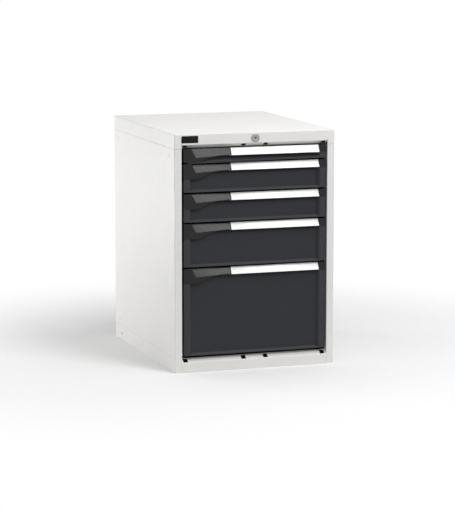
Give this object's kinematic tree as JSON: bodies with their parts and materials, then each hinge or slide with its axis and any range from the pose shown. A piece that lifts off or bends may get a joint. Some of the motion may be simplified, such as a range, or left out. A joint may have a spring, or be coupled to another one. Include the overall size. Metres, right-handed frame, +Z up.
{
  "type": "multi-drawer cabinet",
  "caption": "Steel under-bench cabinet: light casing, dark dished drawer fronts with sloping plastic handles and white label strips, ball slides and one central lock.",
  "frame": {"origin": "on the floor, at the middle of the base", "axes": "+X to the cabinet's right as seen from the front, +Y to its back (the drawers open towards -Y), +Z up"},
  "size_m": [0.564, 0.73, 0.8],
  "materials": {
    "casing_paint": "light grey powder coat, fine orange peel",
    "drawer_paint": "anthracite powder coat, satin",
    "handle_plastic": "fine-grained black moulding",
    "label_white": "white label behind clear film",
    "slide_steel": "zinc plated",
    "ball_steel": "polished",
    "lock_nickel": "satin nickel",
    "fixing_steel": "zinc plated",
    "plate_black": "blank black plate"
  },
  "bodies": {
    "cabinet": {"side_panel_left": "casing_paint", "side_panel_right": "casing_paint", "back_panel": "casing_paint", "top_cover": "casing_paint", "bottom_panel": "casing_paint", "front_sill": "casing_paint", "slide_uprights": "slide_steel", "casing_screws": "fixing_steel", "nameplate": "plate_black", "lock_housing": "lock_nickel", "lock_nut": "fixing_steel", "lock_bar_guides": "fixing_steel", "cabinet_rails_1": "slide_steel", "cabinet_rails_2": "slide_steel", "cabinet_rails_3": "slide_steel", "cabinet_rails_4": "slide_steel", "cabinet_rails_5": "slide_steel"},
    "lock_barrel": {"lock_plug": "lock_nickel", "lock_shaft": "fixing_steel"},
    "lock_bar": {"lock_bar": "fixing_steel"},
    "drawer_1": {"drawer_tray_1": "drawer_paint", "drawer_front_1": "drawer_paint", "drawer_handle_1": "handle_plastic", "label_strip_1": "label_white", "drawer_rails_1": "slide_steel"},
    "carriage_1": {"mid_rails_1": "slide_steel"},
    "outer_cages_1": {"outer_ball_cages_1": "ball_steel"},
    "inner_cages_1": {"inner_ball_cages_1": "ball_steel"},
    "drawer_2": {"drawer_tray_2": "drawer_paint", "drawer_front_2": "drawer_paint", "drawer_handle_2": "handle_plastic", "label_strip_2": "label_white", "drawer_rails_2": "slide_steel"},
    "carriage_2": {"mid_rails_2": "slide_steel"},
    "outer_cages_2": {"outer_ball_cages_2": "ball_steel"},
    "inner_cages_2": {"inner_ball_cages_2": "ball_steel"},
    "drawer_3": {"drawer_tray_3": "drawer_paint", "drawer_front_3": "drawer_paint", "drawer_handle_3": "handle_plastic", "label_strip_3": "label_white", "drawer_rails_3": "slide_steel"},
    "carriage_3": {"mid_rails_3": "slide_steel"},
    "outer_cages_3": {"outer_ball_cages_3": "ball_steel"},
    "inner_cages_3": {"inner_ball_cages_3": "ball_steel"},
    "drawer_4": {"drawer_tray_4": "drawer_paint", "drawer_front_4": "drawer_paint", "drawer_handle_4": "handle_plastic", "label_strip_4": "label_white", "drawer_rails_4": "slide_steel"},
    "carriage_4": {"mid_rails_4": "slide_steel"},
    "outer_cages_4": {"outer_ball_cages_4": "ball_steel"},
    "inner_cages_4": {"inner_ball_cages_4": "ball_steel"},
    "drawer_5": {"drawer_tray_5": "drawer_paint", "drawer_front_5": "drawer_paint", "drawer_handle_5": "handle_plastic", "label_strip_5": "label_white", "drawer_rails_5": "slide_steel"},
    "carriage_5": {"mid_rails_5": "slide_steel"},
    "outer_cages_5": {"outer_ball_cages_5": "ball_steel"},
    "inner_cages_5": {"inner_ball_cages_5": "ball_steel"}
  },
  "joints": [
    {"name": "lock_turn", "type": "hinge", "parent": "cabinet", "child": "lock_barrel", "pos_m": [0, -0.3625, 0.7815], "axis": [0, 1, 0], "range_deg": [0, 90]},
    {"name": "lock_bar_slide", "type": "slide", "parent": "cabinet", "child": "lock_bar", "axis": [0, 0, 1], "range_m": [0, 0.012]},
    {"name": "drawer_1_slide", "type": "slide", "parent": "cabinet", "child": "drawer_1", "axis": [0, -1, 0], "range_m": [0, 0.61]},
    {"name": "carriage_1_slide", "type": "slide", "parent": "cabinet", "child": "carriage_1", "axis": [0, -1, 0], "range_m": [0, 0.305]},
    {"name": "outer_cages_1_slide", "type": "slide", "parent": "cabinet", "child": "outer_cages_1", "axis": [0, -1, 0], "range_m": [0, 0.1525]},
    {"name": "inner_cages_1_slide", "type": "slide", "parent": "cabinet", "child": "inner_cages_1", "axis": [0, -1, 0], "range_m": [0, 0.4575]},
    {"name": "drawer_2_slide", "type": "slide", "parent": "cabinet", "child": "drawer_2", "axis": [0, -1, 0], "range_m": [0, 0.61]},
    {"name": "carriage_2_slide", "type": "slide", "parent": "cabinet", "child": "carriage_2", "axis": [0, -1, 0], "range_m": [0, 0.305]},
    {"name": "outer_cages_2_slide", "type": "slide", "parent": "cabinet", "child": "outer_cages_2", "axis": [0, -1, 0], "range_m": [0, 0.1525]},
    {"name": "inner_cages_2_slide", "type": "slide", "parent": "cabinet", "child": "inner_cages_2", "axis": [0, -1, 0], "range_m": [0, 0.4575]},
    {"name": "drawer_3_slide", "type": "slide", "parent": "cabinet", "child": "drawer_3", "axis": [0, -1, 0], "range_m": [0, 0.61]},
    {"name": "carriage_3_slide", "type": "slide", "parent": "cabinet", "child": "carriage_3", "axis": [0, -1, 0], "range_m": [0, 0.305]},
    {"name": "outer_cages_3_slide", "type": "slide", "parent": "cabinet", "child": "outer_cages_3", "axis": [0, -1, 0], "range_m": [0, 0.1525]},
    {"name": "inner_cages_3_slide", "type": "slide", "parent": "cabinet", "child": "inner_cages_3", "axis": [0, -1, 0], "range_m": [0, 0.4575]},
    {"name": "drawer_4_slide", "type": "slide", "parent": "cabinet", "child": "drawer_4", "axis": [0, -1, 0], "range_m": [0, 0.61]},
    {"name": "carriage_4_slide", "type": "slide", "parent": "cabinet", "child": "carriage_4", "axis": [0, -1, 0], "range_m": [0, 0.305]},
    {"name": "outer_cages_4_slide", "type": "slide", "parent": "cabinet", "child": "outer_cages_4", "axis": [0, -1, 0], "range_m": [0, 0.1525]},
    {"name": "inner_cages_4_slide", "type": "slide", "parent": "cabinet", "child": "inner_cages_4", "axis": [0, -1, 0], "range_m": [0, 0.4575]},
    {"name": "drawer_5_slide", "type": "slide", "parent": "cabinet", "child": "drawer_5", "axis": [0, -1, 0], "range_m": [0, 0.61]},
    {"name": "carriage_5_slide", "type": "slide", "parent": "cabinet", "child": "carriage_5", "axis": [0, -1, 0], "range_m": [0, 0.305]},
    {"name": "outer_cages_5_slide", "type": "slide", "parent": "cabinet", "child": "outer_cages_5", "axis": [0, -1, 0], "range_m": [0, 0.1525]},
    {"name": "inner_cages_5_slide", "type": "slide", "parent": "cabinet", "child": "inner_cages_5", "axis": [0, -1, 0], "range_m": [0, 0.4575]}
  ],
  "couplings": [
    {"joint": "lock_turn", "follows": "lock_bar_slide", "rad_per_m": 130.9},
    {"joint": "carriage_1_slide", "follows": "drawer_1_slide", "ratio": 0.5},
    {"joint": "outer_cages_1_slide", "follows": "drawer_1_slide", "ratio": 0.25},
    {"joint": "inner_cages_1_slide", "follows": "drawer_1_slide", "ratio": 0.75},
    {"joint": "carriage_2_slide", "follows": "drawer_2_slide", "ratio": 0.5},
    {"joint": "outer_cages_2_slide", "follows": "drawer_2_slide", "ratio": 0.25},
    {"joint": "inner_cages_2_slide", "follows": "drawer_2_slide", "ratio": 0.75},
    {"joint": "carriage_3_slide", "follows": "drawer_3_slide", "ratio": 0.5},
    {"joint": "outer_cages_3_slide", "follows": "drawer_3_slide", "ratio": 0.25},
    {"joint": "inner_cages_3_slide", "follows": "drawer_3_slide", "ratio": 0.75},
    {"joint": "carriage_4_slide", "follows": "drawer_4_slide", "ratio": 0.5},
    {"joint": "outer_cages_4_slide", "follows": "drawer_4_slide", "ratio": 0.25},
    {"joint": "inner_cages_4_slide", "follows": "drawer_4_slide", "ratio": 0.75},
    {"joint": "carriage_5_slide", "follows": "drawer_5_slide", "ratio": 0.5},
    {"joint": "outer_cages_5_slide", "follows": "drawer_5_slide", "ratio": 0.25},
    {"joint": "inner_cages_5_slide", "follows": "drawer_5_slide", "ratio": 0.75}
  ]
}
